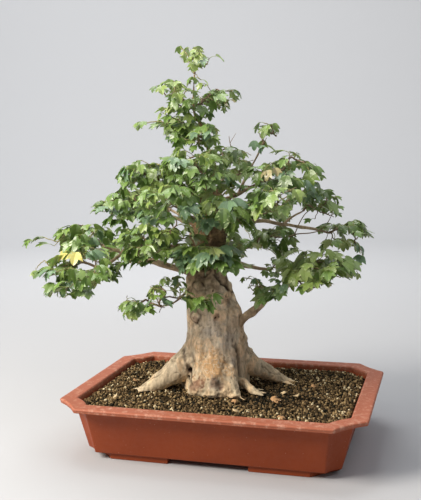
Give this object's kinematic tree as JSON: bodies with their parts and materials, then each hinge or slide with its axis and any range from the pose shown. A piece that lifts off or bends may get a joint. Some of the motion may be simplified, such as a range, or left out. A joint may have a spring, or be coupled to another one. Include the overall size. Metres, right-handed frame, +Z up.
{
  "type": "trident maple bonsai in a pot",
  "caption": "Trident maple bonsai in leaf: stout flared trunk, spreading boughs and layered three-lobed foliage, in a shallow red clay pot with cut corners.",
  "frame": {"origin": "under the middle of the whole plant's box, on the surface that the pot's feet stand on", "axes": "+X along the pot's long side, to the right as seen from the tree's front, +Y across the pot, away from that front, +Z up"},
  "size_m": [0.5546, 0.3994, 0.6129],
  "materials": {
    "pot_clay": "matt unglazed red clay",
    "soil": "loose damp clay granules",
    "bark": "smooth pale bark, flaking in patches",
    "leaves": "soft satin leaf"
  },
  "bodies": {
    "root": {"pot": "pot_clay", "soil": "soil", "trunk": "bark", "bough_back_left": "bark", "bough_back_low": "bark", "bough_back_low_left": "bark", "bough_back_right": "bark", "bough_breast": "bark", "bough_crown_back": "bark", "bough_crown_front": "bark", "bough_crown_left": "bark", "bough_crown_right": "bark", "bough_elbow_right": "bark", "bough_front_left": "bark", "bough_front_right": "bark", "bough_inner_right": "bark", "bough_low_left": "bark", "bough_low_right": "bark", "bough_mid_left": "bark", "bough_mid_right": "bark", "bough_neck_left": "bark", "bough_outer_left": "bark", "bough_shoulder_left": "bark", "bough_shoulder_right": "bark", "bough_spire_right": "bark", "bough_sprig_left": "bark", "bough_throat": "bark", "bough_tip_right": "bark", "foliage_apex": "leaves", "foliage_back_left": "leaves", "foliage_back_low": "leaves", "foliage_back_low_left": "leaves", "foliage_back_right": "leaves", "foliage_breast": "leaves", "foliage_crown_back": "leaves", "foliage_crown_front": "leaves", "foliage_crown_left": "leaves", "foliage_crown_right": "leaves", "foliage_elbow_right": "leaves", "foliage_front_left": "leaves", "foliage_front_right": "leaves", "foliage_inner_right": "leaves", "foliage_low_left": "leaves", "foliage_low_right": "leaves", "foliage_mid_left": "leaves", "foliage_mid_right": "leaves", "foliage_neck_left": "leaves", "foliage_neck_right": "leaves", "foliage_outer_left": "leaves", "foliage_shoulder_left": "leaves", "foliage_shoulder_right": "leaves", "foliage_spire_right": "leaves", "foliage_sprig_left": "leaves", "foliage_throat": "leaves", "foliage_tip_right": "leaves", "foliage_top_left": "leaves", "foliage_top_right": "leaves", "foliage_trunk_sprout": "leaves"}
  },
  "joints": []
}
